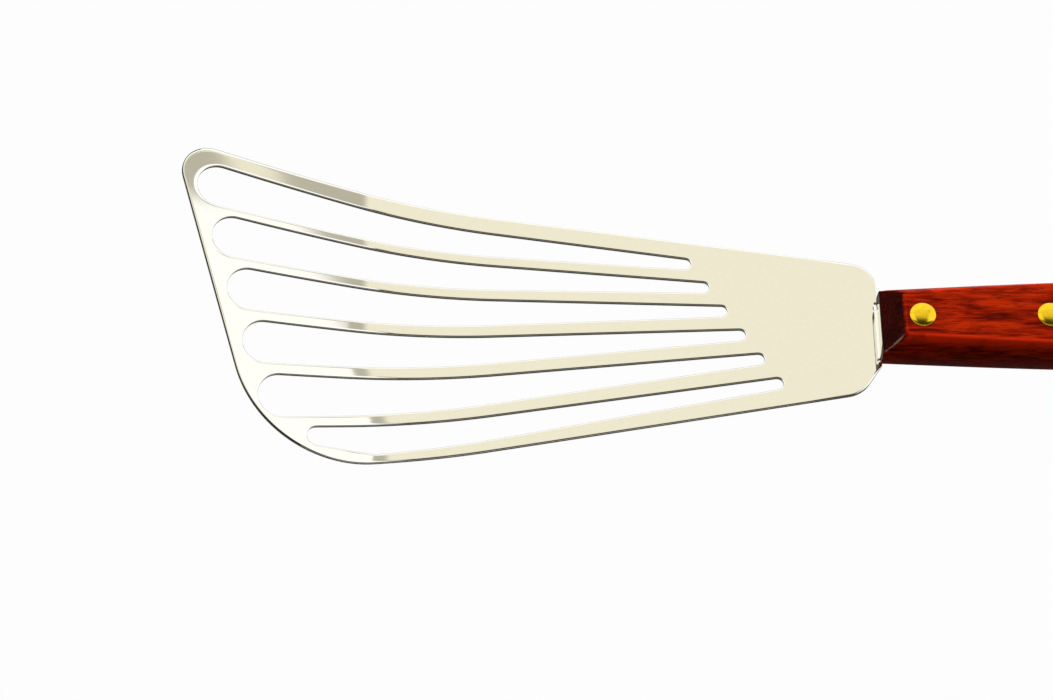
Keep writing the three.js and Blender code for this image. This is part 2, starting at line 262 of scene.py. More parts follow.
def rosewood():
    look = woodLook
    material, tree, surface, where = newMaterial("rosewood")
    grain = placeGroup(tree, rosewoodGrain, {"Vector": where})
    marks = handled(tree, where, look)
    colour = ramp(tree, grain["Tone"], [look["dark"], look["middle"], look["bright"]])
    porous = calc(tree, "MULTIPLY", grain["Pores"], look["poreShare"])
    colour = mixColour(tree, porous, colour, (*look["pore"], 1))
    # Edge wear and a painted highlight: brighter red on the ridge and in a band under it, in patches
    values = {"Edge": pieceMark(tree, "ridgeWearAndSheen"), "Vector": where, "Amount": look["wearAndSheen"],
              "Patch size": look["wearAndSheenPatch"]}
    wearAndSheen = placeGroup(tree, edgeWearAndSheen, values)["WearAndSheen"]
    colour = mixColour(tree, wearAndSheen, colour, (*look["ridgeWearAndSheen"], 1))
    dots = stretchedNoise(tree, where, *look["dots"])     # end grain, on the bevel and the butt
    rings = stretchedNoise(tree, where, *look["rings"])
    tone = weightedSum(tree, (dots, look["dotShare"]), (rings, look["ringShare"]))
    endColour = ramp(tree, tone, [look["endDark"], look["endPale"]])
    colour = mixColour(tree, pieceMark(tree, "endCut"), colour, endColour)
    # A painted glint: a pale line along the bevel's near edge
    colour = mixColour(tree, pieceMark(tree, "glint"), colour, (*look["glint"], 1))
    dress(tree, surface, colour, marks["Roughness"], grain["Height"], look["bump"], 0.0)
    surface.inputs["Specular IOR Level"].default_value = look["specular"]
    return material


steel = polishedMetal("polishedSteel", steelLook)
cutEdgeAndShade = cutSteelAndShade()
wood = rosewood()
brass = polishedMetal("polishedBrass", brassLook)
print("finishes made")


# Shared helpers for the pieces

def reach(value, start, end):     # 0 at the start, 1 at the end, straight in between
    return min(max((value - start) / (end - start), 0), 1)


def newPiece(name, mesh, materials):
    for material in materials:
        mesh.materials.append(material)
    piece = bpy.data.objects.new(name, mesh)
    scene.collection.objects.link(piece)
    return piece


def smoothMesh(bm, name):
    for face in bm.faces:
        face.smooth = True
    mesh = bpy.data.meshes.new(name)
    bm.to_mesh(mesh)
    bm.free()
    return mesh


def applyModifiers(piece):
    depsgraph = bpy.context.evaluated_depsgraph_get()
    mesh = bpy.data.meshes.new_from_object(piece.evaluated_get(depsgraph), preserve_all_data_layers=True,
                                           depsgraph=depsgraph)
    piece.modifiers.clear()
    piece.data = mesh


def runTree(piece, tree, values):
    modifier = piece.modifiers.new(tree.name, "NODES")
    modifier.node_group = tree
    for item in tree.interface.items_tree:
        if item.item_type == "SOCKET" and item.in_out == "INPUT" and item.name in values:
            modifier[item.identifier] = values[item.name]
    applyModifiers(piece)


def finishPiece(piece, slot, *nodes):
    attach(piece, "root")
    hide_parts(*nodes)
    print(piece.name, "done:", len(piece.data.polygons), "faces")


# Blade, neck and tang: one sheet, in millimetres from the line where the neck bends up

blade = {
    "sheet": 0.9, "foldLine": 1.2, "bendRadius": 0.75, "rise": 6, "frontReveal": 0.05,
    "curlStart": -84, "curlRadius": 112, "curlAngle": math.radians(16.5), "tipSweep": 600,
    # outline: corners are x, y and radius, those on the heel's edge only y and radius
    "tipCorner": (-158.9, 41, 6.5), "sweepCorner": (-133.8, -37.2, 28), "heelFoot": (-2.8, -14.9, 7),
    "heelEdge": 2.1, "heelLow": (-7.8, 0.5), "heelHigh": (17.4, 6.5),
    # slots: the wide ones fan out in even steps, the last one has a belly before its tip
    "wideSlots": 5, "slotRoot": (-40.9, 18.1), "rootStep": (3.9, -6.08), "rootRadius": 1.4,
    "slotTip": (-147.3, 30.1), "tipStep": (4.1, -12.45), "tipRadius": 5.1,
    "lastTip": (-122.6, -28.2, 2.2), "lastBelly": (-109.8, -27.5, 3.4),
    # neck and tang
    "neckWidth": 12.6, "neckTaper": 3, "taperLead": 0.4, "reliefWidth": 1.6, "lowReliefWidth": 0.5,
    "reliefCorner": 0.5, "tangWidth": 9.6, "tangEndWidth": 8.4, "tangEnd": 74.2, "tangCorner": 3,
    # rounded edges, with the bands of x or y over which they get narrower or wider
    "edgeWide": 0.38, "edgeDrop": 0.22, "edgeSteps": 5, "edgeHold": 0.16, "mitreLimit": 0.6,
    "neckShare": 0.7, "neckBand": (-3, 0), "heelBand": (-14, -6), "footShare": 1.8, "footBand": (-8.6, -11),
    "rimShare": 2.2, "tipBand": (-90, -140), "cornerRim": 0.4, "cornerBand": (9.5, 12.5),
    "slotTurn": 0.3, "slotBand": (-24, -20),
    # rings of faces that show cut metal darkened as painted shade, and the runs of the edge that show more
    # of it
    "cutAndShadeRings": 3, "farRings": 4, "farRun": 0.3, "tipRings": 5, "tipRun": 0.4,
    # spacing of the mesh's points
    "step": 1.0, "slotStep": 0.6, "fineStep": 0.22, "gridStep": 2.0, "arcSteps": 6, "leastRun": 0.01,
    "bendRoom": 0.5, "fineRoom": 0.4, "gridRoom": 0.8, "edgeRoom": 0.35, "edgeSamples": 4, "neckRows": 18,
}
riser = blade["rise"] - 2 * blade["bendRadius"]
crankLength = 2 * blade["bendRadius"] * quarter + riser
crankEnd = blade["foldLine"] + crankLength
handleFront = blade["foldLine"] + blade["bendRadius"] - blade["sheet"] / 2 + blade["frontReveal"]

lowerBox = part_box("lower_scale")
shiftX = lowerBox[0].x / mm - handleFront
shiftY = (lowerBox[0].y + lowerBox[1].y) / 2 / mm


def toFrame(x, y, z):
    return ((x + shiftX) * mm, (y + shiftY) * mm, z * mm)


def arcPoints(centre, start, turn, step):
    count = max(blade["arcSteps"], math.ceil(abs(turn) * start.length / step))
    return [centre + Matrix.Rotation(turn * k / count, 2) @ start for k in range(count + 1)]


def roundedOutline(corners, step):
    points = []
    for i, (x, y, radius) in enumerate(corners):
        corner = Vector((x, y))
        if radius == 0:
            points.append(corner)
            continue
        before = (Vector(corners[i - 1][:2]) - corner).normalized()
        after = (Vector(corners[(i + 1) % len(corners)][:2]) - corner).normalized()
        half = before.angle(after) / 2
        centre = corner + (before + after).normalized() * (radius / math.sin(half))
        start = corner + before * (radius / math.tan(half)) - centre
        turn = math.copysign(math.pi - 2 * half, -before.cross(after))
        points += arcPoints(centre, start, turn, step)
    return points


# A slot's outline: a belt round circles of x, y, radius
def beltOutline(circles, step):
    leaving = []
    for i, (x, y, radius) in enumerate(circles):
        nextX, nextY, nextRadius = circles[(i + 1) % len(circles)]
        run = Vector((nextX - x, nextY - y))
        leaving.append(math.atan2(run.y, run.x) - math.acos((radius - nextRadius) / run.length))
    points = []
    for i, (x, y, radius) in enumerate(circles):
        sweep = (leaving[i] - leaving[i - 1]) % (2 * math.pi)
        start = Vector((math.cos(leaving[i - 1]), math.sin(leaving[i - 1]))) * radius
        points += arcPoints(Vector((x, y)), start, sweep, step)
    return points


# Evenly spaced points, closer together where the neck bends
def fillIn(points, clockwise):
    bendStart, bendStop = blade["foldLine"] - blade["bendRoom"], crankEnd + blade["bendRoom"]
    dense = []
    for a, b in zip(points, points[1:] + points[:1]):
        length = (b - a).length
        if length < blade["leastRun"]:
            continue
        inBend = max(a.x, b.x) > bendStart and min(a.x, b.x) < bendStop
        count = max(1, math.ceil(length / (blade["fineStep"] if inBend else blade["step"])))
        dense += [a.lerp(b, k / count) for k in range(count)]
    area = sum(a.cross(b) for a, b in zip(dense, dense[1:] + dense[:1]))
    return dense[::-1] if (area < 0) != clockwise else dense


# How wide the rounding is at a point: less round the neck, more along the heel's foot, at the slots' ends
# in the curl, at the long corner of the tip and at the heel's upper corner
def edgeShare(point, side, outer):
    b = blade
    atHeel = reach(point.x, *b["heelBand"])
    share = 1 - (1 - b["neckShare"]) * reach(point.x, *b["neckBand"])
    share += (b["footShare"] - 1) * reach(point.y, *b["footBand"]) * atHeel
    if outer:
        rim = max(-side.y, 0) ** 2 * reach(point.x, *b["tipBand"])
        rim += b["cornerRim"] * atHeel * reach(point.y, *b["cornerBand"])
    else:
        inCurl = point.x < b["curlStart"]
        rim = max(-side.x - b["slotTurn"], 0) * reach(point.y, *b["slotBand"]) * inCurl
    return share + (b["rimShare"] - 1) * rim


# Moves each point of a loop into the metal on its left
def inset(points, depth, outer):
    moved = []
    for i, point in enumerate(points):
        came = (point - points[i - 1]).normalized()
        goes = (points[(i + 1) % len(points)] - point).normalized()
        side = Vector((-came.y - goes.y, came.x + goes.x)).normalized()
        mitre = max(blade["mitreLimit"], side.dot(Vector((-came.y, came.x))))
        moved.append(point + side * (depth * edgeShare(point, side, outer) / mitre))
    return moved


def inside(places, loop):
    x, y = places[:, 0], places[:, 1]
    hit = np.zeros(len(places), bool)
    for a, b in zip(loop, loop[1:] + loop[:1]):
        if a.y != b.y:
            crosses = (a.y > y) != (b.y > y)
            hit ^= crosses & (x < (b.x - a.x) * (y - a.y) / (b.y - a.y) + a.x)
    return hit


def onMetal(places, loops):
    keep = inside(places, loops[0])
    for loop in loops[1:]:
        keep &= ~inside(places, loop)
    return keep


# One side of tang, neck and relief slit, from the tang's end back to the heel
def neckSide(slit):
    b = blade
    neck = b["neckWidth"] / 2
    tangStart = crankEnd - b["taperLead"]
    blankEnd = b["tangEnd"] + crankLength - 2 * b["bendRadius"]
    return [(blankEnd, b["tangEndWidth"] / 2, b["tangCorner"]), (tangStart, b["tangWidth"] / 2, 0),
            (tangStart - b["neckTaper"], neck, 0), (b["foldLine"], neck, 0),
            (b["foldLine"], neck + slit, 0), (b["heelEdge"], neck + slit, b["reliefCorner"])]


def bladeLoops():
    b = blade
    upper = neckSide(b["reliefWidth"])
    lower = [(x, -y, radius) for x, y, radius in reversed(neckSide(b["lowReliefWidth"]))]
    corners = [b["tipCorner"], b["sweepCorner"], b["heelFoot"], (b["heelEdge"], *b["heelLow"])]
    corners += lower + upper + [(b["heelEdge"], *b["heelHigh"])]
    loops = [fillIn(roundedOutline(corners, b["step"]), False)]
    for i in range(b["wideSlots"] + 1):
        root = [b["slotRoot"][k] + b["rootStep"][k] * i for k in (0, 1)]
        tip = [b["slotTip"][k] + b["tipStep"][k] * i for k in (0, 1)]
        row = [(*root, b["rootRadius"]), (*tip, b["tipRadius"])]
        if i == b["wideSlots"]:
            row = [row[0], b["lastTip"], b["lastBelly"]]
        loops.append(fillIn(beltOutline(row, b["slotStep"]), True))
    return loops


# Points within the sheet: a plain grid, and a finer one over the bent neck
def fillPoints(loops):
    b = blade
    gridX, gridY = [np.arange(min(line), max(line), b["gridStep"]) for line in zip(*loops[0])]
    rows = [(x, y) for x in gridX for y in gridY
            if x < b["foldLine"] - b["gridRoom"] or x > crankEnd + b["gridRoom"]]
    neck = b["neckWidth"] / 2
    fine = np.arange(b["foldLine"] - b["fineRoom"], crankEnd + b["fineRoom"], b["fineStep"])
    rows += [(x, y) for x in fine for y in np.linspace(-neck, neck, b["neckRows"])]
    places = np.array(rows)
    places = places[onMetal(places, loops)]
    shares = np.linspace(0, 1, b["edgeSamples"], endpoint=False)
    edges = np.array([start.lerp(end, share)[:] for loop in loops
                      for start, end in zip(loop, loop[1:] + loop[:1]) for share in shares])
    clear = np.array([np.hypot(*(edges - place).T).min() for place in places])
    return [Vector(place) for place in places[clear > b["edgeRoom"]]]


# Where a point of the flat sheet goes when the neck is bent up and back
def bendNeck(x, y, z):
    fold = blade["foldLine"]
    if x <= fold or abs(y) > (blade["neckWidth"] + blade["lowReliefWidth"]) / 2:
        return x, y, z
    curve = blade["bendRadius"] * quarter
    wayX, wayZ, angle, left = fold, 0.0, 0.0, x - fold
    for length, turn in ((curve, quarter), (riser, 0.0), (curve, -quarter), (math.inf, 0.0)):
        part = min(left, length)
        swing = turn * part / length
        chord = part if swing == 0 else 2 * part / swing * math.sin(swing / 2)
        wayX += chord * math.cos(angle + swing / 2)
        wayZ += chord * math.sin(angle + swing / 2)
        angle += swing
        left -= part
    lift = z - blade["sheet"] / 2
    return wayX - lift * math.sin(angle), y, blade["sheet"] / 2 + wayZ + lift * math.cos(angle)


# The rounded edge from the flat underside out and back to the flat top, as depth and height
def edgeProfile():
    b = blade
    turns = [quarter * k / b["edgeSteps"] for k in range(b["edgeSteps"] + 1)]
    lower = [(b["edgeWide"] + b["edgeHold"], 0.0)]
    lower += [(b["edgeWide"] * (1 - math.sin(t)), b["edgeDrop"] * (1 - math.cos(t))) for t in turns]
    return lower + [(depth, b["sheet"] - height) for depth, height in reversed(lower)]


# The dark cut metal, partly the cut edge and partly painted shade, covers the upright wall and the steepest
# of the rounding, a little more on the far side of each tine, and more along the tip, where the sheet leans
# back
def cutAndShadeCount(run, outer):
    if outer and run.y < -blade["tipRun"]:
        return blade["tipRings"]
    return blade["farRings"] if run.x < -blade["farRun"] else blade["cutAndShadeRings"]


def bladeSheet():
    loops = bladeLoops()
    profile = edgeProfile()
    inner = [inset(loop, profile[0][0], loop is loops[0]) for loop in loops]
    points, faces, marks = [], [], []
    topEdge, lowEdge, borders = [], [], []
    for loop in loops:
        outer = loop is loops[0]
        count = len(loop)
        first = len(points)
        for depth, height in profile:
            points += [(p.x, p.y, height) for p in inset(loop, depth, outer)]
        for ring in range(len(profile) - 1):
            for k in range(count):
                after = (k + 1) % count
                a, b = first + ring * count + k, first + ring * count + after
                faces.append((a, b, b + count, a + count))
                run = (loop[after] - loop[k]).normalized()
                marks.append(int(0 <= ring - blade["edgeSteps"] < cutAndShadeCount(run, outer)))
        borders += [(len(lowEdge) + k, len(lowEdge) + (k + 1) % count) for k in range(count)]
        lowEdge += range(first, first + count)
        topEdge += range(first + (len(profile) - 1) * count, first + len(profile) * count)
    middle = fillPoints(inner)
    top = topEdge + list(range(len(points), len(points) + len(middle)))
    points += [(p.x, p.y, blade["sheet"]) for p in middle]
    low = lowEdge + list(range(len(points), len(points) + len(middle)))
    points += [(p.x, p.y, 0.0) for p in middle]
    flat = [point for loop in inner for point in loop] + middle
    insideOnly, nearest = 1, 1e-6     # the way of filling, and how close two points may lie
    corners, _, triangles, origin, _, _ = delaunay_2d_cdt(flat, borders, [], insideOnly, nearest)
    centres = np.array([sum((corners[k] for k in t), Vector((0, 0))) / 3 for t in triangles])
    for triangle, metal in zip(triangles, onMetal(centres, inner)):
        if metal:
            ids = [origin[k][0] for k in triangle]
            faces.append([top[k] for k in ids])
            faces.append([low[k] for k in reversed(ids)])
            marks += [0, 0]
    mesh = bpy.data.meshes.new("blade")
    mesh.from_pydata([toFrame(*bendNeck(*point)) for point in points], [], faces)
    mesh.polygons.foreach_set("material_index", marks)
    mesh.polygons.foreach_set("use_smooth", [True] * len(faces))
    return mesh


# The tip's curl as a node tree: a tight roll from the start line on, then a wide sweep to the tip
def curlTree():
    inputs = [("Geometry", shapeSocket, None), ("Curl start", numberSocket, 0.0),
              ("Curl radius", numberSocket, 0.1), ("Curl angle", numberSocket, 0.3),
              ("Sweep radius", numberSocket, 0.6), ("Sheet", numberSocket, 0.001),
              ("Finish", finishSocket, None)]
    tree, source, target = newGroup("tipCurl", "GeometryNodeTree", inputs, [("Geometry", shapeSocket)])
    start, radius, wide = source["Curl start"], source["Curl radius"], source["Sweep radius"]
    here = tree.nodes.new("GeometryNodeInputPosition").outputs[0]
    axes = addNode(tree, "ShaderNodeSeparateXYZ", {0: here}).outputs
    past = calc(tree, "MAXIMUM", calc(tree, "SUBTRACT", start, axes["X"]), 0.0)
    tight = calc(tree, "MINIMUM", calc(tree, "DIVIDE", past, radius), source["Curl angle"])
    rest = calc(tree, "SUBTRACT", past, calc(tree, "MULTIPLY", tight, radius))
    angle = calc(tree, "ADD", tight, calc(tree, "DIVIDE", rest, wide))
    sine, cosine = calc(tree, "SINE", angle), calc(tree, "COSINE", angle)
    tightSine, tightCosine = calc(tree, "SINE", tight), calc(tree, "COSINE", tight)
    half = calc(tree, "MULTIPLY", source["Sheet"], 0.5)
    lift = calc(tree, "SUBTRACT", axes["Z"], half)
    swept = calc(tree, "MULTIPLY", wide, calc(tree, "SUBTRACT", sine, tightSine))
    back = calc(tree, "ADD", calc(tree, "MULTIPLY", radius, tightSine), swept)
    x = calc(tree, "SUBTRACT", calc(tree, "MAXIMUM", axes["X"], start), back)
    x = calc(tree, "ADD", x, calc(tree, "MULTIPLY", lift, sine))
    bow = calc(tree, "MULTIPLY", radius, calc(tree, "SUBTRACT", 1.0, tightCosine))
    climb = calc(tree, "MULTIPLY", wide, calc(tree, "SUBTRACT", tightCosine, cosine))
    rise = calc(tree, "ADD", bow, climb)
    z = calc(tree, "ADD", calc(tree, "ADD", half, rise), calc(tree, "MULTIPLY", lift, cosine))
    place = addNode(tree, "ShaderNodeCombineXYZ", {"X": x, "Y": axes["Y"], "Z": z}).outputs[0]
    moved = addNode(tree, "GeometryNodeSetPosition", {"Geometry": source["Geometry"], "Position": place})
    real = addNode(tree, "GeometryNodeRealizeInstances", {"Geometry": moved.outputs[0]})
    polished = calc(tree, "SUBTRACT", 1.0, tree.nodes.new("GeometryNodeInputMaterialIndex").outputs[0])
    values = {"Geometry": real.outputs[0], "Selection": polished, "Material": source["Finish"]}
    done = addNode(tree, "GeometryNodeSetMaterial", values)     # the cut edges keep theirs
    return putOut(tree, target, {"Geometry": done.outputs[0]})


def makeBlade():
    piece = newPiece("turnerBlade", bladeSheet(), [steel, cutEdgeAndShade])
    values = {"Curl start": toFrame(blade["curlStart"], 0, 0)[0], "Curl radius": blade["curlRadius"] * mm,
              "Curl angle": blade["curlAngle"], "Sweep radius": blade["tipSweep"] * mm,
              "Sheet": blade["sheet"] * mm, "Finish": steel}
    runTree(piece, curlTree(), values)
    finishPiece(piece, "steel", "blade")


makeBlade()


# Handle scales: one width rule along the handle, in millimetres

handle = {
    "length": 112, "topHeight": 10.9, "underHeight": 1.6, "frontBevel": 4.6, "buttRadius": 7.5,
    "edgeRadius": 1.3, "sideCurve": 3, "baseWidth": 16.6, "baseSwell": 4, "crownWidth": 9.75,
    "crownSwell": 6.4, "widestAt": 0.62, "fallOff": 0.25,
    # softened edges
    "softEdge": 0.42, "softSteps": 4, "crispAngle": math.radians(24), "mergeGap": 0.02, "jointGap": 0.1,
    "onJoint": 0.001,
    # mesh steps
    "frontPlaces": (0, 1.2, 2.4), "frontGap": 1, "lengthSteps": 60, "buttSteps": 14, "sideSteps": 12,
    "roundSteps": 6, "ridgeRoom": 1.1, "flatCorners": 12, "orderLine": (1, 0.37, 0.61),
    # marks on the wood: tilts are shares of a normal, bands are depths below the top
    "endTilt": (0.3, 0.58), "glowBand": 2.2, "glowStart": 0.05, "glowTilt": 0.3, "glowLevel": 0.95,
    "wearAndSheenLevel": 0.3, "wearAndSheenGain": 27, "farWearAndSheen": 0.2,
    "glintTilt": (0.28, 0.55), "glintEnd": 0.2, "glintTop": 0.4, "glintLevel": 0.65,
}
tangTop = blade["rise"] + blade["sheet"]


def handleHalf(along, height):
    h = handle
    part = min(along / h["length"], 1)
    swell = math.sin(quarter * min(part / h["widestAt"], 1)) - h["fallOff"] * max(part - h["widestAt"], 0)
    base = (h["baseWidth"] + h["baseSwell"] * swell) / 2
    crown = (h["crownWidth"] + h["crownSwell"] * swell) / 2
    rise = (height - h["underHeight"]) / (h["topHeight"] - h["underHeight"])
    half = base - (base - crown) * rise ** h["sideCurve"]
    under = h["edgeRadius"] - (height - h["underHeight"])
    if under > 0:
        half -= h["edgeRadius"] - math.sqrt(h["edgeRadius"] ** 2 - under ** 2)
    end = along - (h["length"] - h["buttRadius"])
    if end > 0:
        half -= h["buttRadius"] - math.sqrt(max(h["buttRadius"] ** 2 - end ** 2, 0))
    return half


def scaleHeights(low, high):
    h = handle
    roundTop = max(low, h["underHeight"] + h["edgeRadius"])
    heights = []
    if low < roundTop:
        turns = [quarter * k / h["roundSteps"] for k in range(h["roundSteps"])]
        heights = [h["underHeight"] + h["edgeRadius"] * (1 - math.cos(t)) for t in turns]
    room = h["ridgeRoom"] if high == h["topHeight"] else 0     # no points where the ridge is softened
    heights += list(np.linspace(roundTop, high - room, h["sideSteps"] + 1))
    return heights + [high] if room else heights


# Stations along the handle: set ones at the front, then even ones, then those round the butt
def scalePlaces():
    h = handle
    straight = h["length"] - h["buttRadius"]
    places = list(h["frontPlaces"])
    places += list(np.linspace(places[-1] + h["frontGap"], straight, h["lengthSteps"], endpoint=False))
    turns = [quarter * k / h["buttSteps"] for k in range(h["buttSteps"] + 1)]
    return places + [straight + h["buttRadius"] * math.sin(t) for t in turns]


def sideColumn(place, heights, slant, way):
    low, high = heights[0], heights[-1]
    column = []
    for height in heights:
        along = place + slant * (height - low) / (high - low) * (1 - place / handle["length"])
        column.append((handleFront + along, way * handleHalf(along, height), height))
    return column


def scaleShell(low, high, slant):
    bm = bmesh.new()
    for name in ("ridgeWearAndSheen", "glint", "endCut"):
        bm.verts.layers.float.new(name)
    heights = scaleHeights(low, high)
    sides = []
    for way in (1, -1):
        columns = [sideColumn(place, heights, slant, way) for place in scalePlaces()]
        sides.append([[bm.verts.new(toFrame(*point)) for point in column] for column in columns])
    for side in sides:
        for a, b in zip(side, side[1:]):
            for k in range(1, len(a)):
                bm.faces.new((a[k - 1], a[k], b[k], b[k - 1]))
    far, near = sides
    for end in (0, -1):     # front and flat underside, then butt and flat top
        bm.faces.new(far[end] + near[end][::-1])
        bm.faces.new([column[end] for column in far] + [column[end] for column in reversed(near)])
    bmesh.ops.recalc_face_normals(bm, faces=bm.faces)
    return bm


# Softens the crisp edges, apart from those where the scales meet, and gives back the softened points
def softenEdges(bm):
    h = handle
    joint = tangTop * mm
    crisp = [edge for edge in bm.edges if edge.calc_face_angle(0) > h["crispAngle"]]
    parting = {edge for edge in crisp if all(abs(v.co.z - joint) < h["onJoint"] * mm for v in edge.verts)}
    for edge in parting:
        edge.smooth = False
    soft = bmesh.ops.bevel(bm, geom=[edge for edge in crisp if edge not in parting], affect="EDGES",
                           offset=h["softEdge"] * mm, segments=h["softSteps"], profile=0.5,
                           clamp_overlap=True)
    bmesh.ops.remove_doubles(bm, verts=bm.verts, dist=h["mergeGap"] * mm)
    markedEdge = {vert for face in soft["faces"] if face.is_valid for vert in face.verts}
    for vert in markedEdge:
        if abs(vert.co.z - joint) < h["jointGap"] * mm:
            vert.co.z = joint     # the softened edges end in the plane where the scales meet
    flats = [face for face in bm.faces if len(face.verts) > h["flatCorners"]]
    bmesh.ops.inset_individual(bm, faces=flats, thickness=h["softEdge"] * mm)
    bm.normal_update()
    return markedEdge


# Marks that the wood's finish reads: end grain where the surface looks along the handle, a painted
# highlight that glows under the ridge, edge wear with a painted highlight on the softened edges and a
# painted glint on the bevel's near edge
def markWood(bm, markedEdge, high, slant):
    h = handle
    ridgeWearAndSheen, glint, endCut = [bm.verts.layers.float[name] for name in ("ridgeWearAndSheen", "glint", "endCut")]
    bevelEnd = toFrame(handleFront + slant, 0, 0)[0]
    for vert in bm.verts:
        below = high - vert.co.z / mm
        vert[endCut] = reach(abs(vert.normal.x), *h["endTilt"])
        # Painted highlight: a band under the ridge on the near side, fading downwards
        if slant and vert.normal.y < -h["glowTilt"] and h["glowStart"] < below < h["glowBand"]:
            vert[ridgeWearAndSheen] = h["glowLevel"] * (1 - below / h["glowBand"])
    leastTilt, mostTilt = h["glintTilt"]
    # Edge wear and a painted highlight on the softened edges, weaker on the far side
    for vert in markedEdge:
        nearSide = vert.normal.y < 0
        wearAndSheen = min(1.0, h["wearAndSheenLevel"] + h["wearAndSheenGain"] * (1 - abs(vert.normal.z)))
        vert[ridgeWearAndSheen] = wearAndSheen if nearSide else h["farWearAndSheen"] * wearAndSheen
        if vert.co.x < bevelEnd + h["softEdge"] * mm:
            vert[ridgeWearAndSheen] = 0.0
        # Painted glint on the bevel's near edge
        onBevel = vert.co.x < bevelEnd - h["glintEnd"] * mm and vert.co.z < (high - h["glintTop"]) * mm
        if onBevel and nearSide and leastTilt < abs(vert.normal.x) < mostTilt:
            vert[glint] = h["glintLevel"]


# Softening numbers the points and faces afresh each run, so they are put in order along a slanted line
def putInOrder(bm):
    line = Vector(handle["orderLine"])
    bm.verts.sort(key=lambda vert: vert.co.dot(line))
    bm.faces.sort(key=lambda face: face.calc_center_median().dot(line))


def makeScale(name, low, high, slant, node):
    bm = scaleShell(low, high, slant)
    markedEdge = softenEdges(bm)
    markWood(bm, markedEdge, high, slant)
    putInOrder(bm)
    piece = newPiece(name, smoothMesh(bm, name), [wood])
    even = piece.modifiers.new("evenShade", "WEIGHTED_NORMAL")
    even.keep_sharp = True
    applyModifiers(piece)
    finishPiece(piece, "wood", node)


makeScale("upperScale", tangTop, handle["topHeight"], handle["frontBevel"], "upper_scale")
makeScale("lowerScale", handle["underHeight"], tangTop, 0, "lower_scale")


# Rivets: a domed head turned about its axis, repeated along the handle

rivet = {"first": 8.65, "side": -0.45, "pitch": 28, "count": 3, "headRadius": 2.95, "headRim": 0.35,
         "headDome": 0.95, "rimSoft": 0.14, "barrelRadius": 1.9, "postRadius": 1.2, "postGap": 0.1,
         "tipGap": 0.6, "segments": 64, "domeSteps": 14}


def headProfile(base, way):
    r = rivet
    seat = base - way * r["headRim"]
    points = [(r["headRadius"] - r["rimSoft"], seat), (r["headRadius"], seat + way * r["rimSoft"])]
    for k in range(r["domeSteps"]):
        turn = quarter * k / r["domeSteps"]
        points.append((r["headRadius"] * math.cos(turn), base + way * r["headDome"] * math.sin(turn)))
    return points


def turnedMesh(name, profile, top, bottom):
    bm = bmesh.new()
    x, y = handleFront + rivet["first"], rivet["side"]
    rings = []
    for radius, height in profile:
        ring = []
        for k in range(rivet["segments"]):
            turn = 2 * math.pi * k / rivet["segments"]
            spot = toFrame(x + radius * math.cos(turn), y + radius * math.sin(turn), height)
            ring.append(bm.verts.new(spot))
        rings.append(ring)
    for a, b in zip(rings, rings[1:]):
        for k in range(rivet["segments"]):
            bm.faces.new((a[k - 1], a[k], b[k], b[k - 1]))
    for ring, height in ((rings[0], bottom), (rings[-1], top)):
        pole = bm.verts.new(toFrame(x, y, height))
        for k in range(rivet["segments"]):
            bm.faces.new((ring[k - 1], ring[k], pole))
    bmesh.ops.recalc_face_normals(bm, faces=bm.faces)
    return smoothMesh(bm, name)


def rivetRowTree():
    inputs = [("Geometry", shapeSocket, None), ("Count", countSocket, 3), ("Pitch", numberSocket, 0.028),
              ("Finish", finishSocket, None)]
    tree, source, target = newGroup("rivetRow", "GeometryNodeTree", inputs, [("Geometry", shapeSocket)])
    step = addNode(tree, "ShaderNodeCombineXYZ", {"X": source["Pitch"]}).outputs[0]
    row = addNode(tree, "GeometryNodeMeshLine", {"Count": source["Count"], "Offset": step}).outputs[0]
    values = {"Points": row, "Instance": source["Geometry"]}
    copies = addNode(tree, "GeometryNodeInstanceOnPoints", values).outputs[0]
    real = addNode(tree, "GeometryNodeRealizeInstances", {"Geometry": copies}).outputs[0]
    done = addNode(tree, "GeometryNodeSetMaterial", {"Geometry": real, "Material": source["Finish"]})
    return putOut(tree, target, {"Geometry": done.outputs[0]})


rivetRow = rivetRowTree()


def makeRivets(name, profile, top, bottom, half):
    piece = newPiece(name, turnedMesh(name, profile, top, bottom), [brass])
    runTree(piece, rivetRow, {"Count": rivet["count"], "Pitch": rivet["pitch"] * mm, "Finish": brass})
    finishPiece(piece, "brass", *[f"{place}_rivet_{half}" for place in ("front", "middle", "rear")])


topHead = headProfile(handle["topHeight"], 1)
underHead = headProfile(handle["underHeight"], -1)
seatTop = handle["topHeight"] - rivet["headRim"]
seatUnder = handle["underHeight"] + rivet["headRim"]
postTip = seatUnder + rivet["tipGap"]
postProfile = [(rivet["postRadius"], postTip), (rivet["postRadius"], seatTop)] + topHead
barrelTop = seatTop - rivet["postGap"]
capProfile = underHead[::-1] + [(rivet["barrelRadius"], seatUnder), (rivet["barrelRadius"], barrelTop)]
makeRivets("rivetPosts", postProfile, handle["topHeight"] + rivet["headDome"], postTip, "post")
makeRivets("rivetCaps", capProfile, barrelTop, handle["underHeight"] - rivet["headDome"], "cap")


# Floor, light and camera

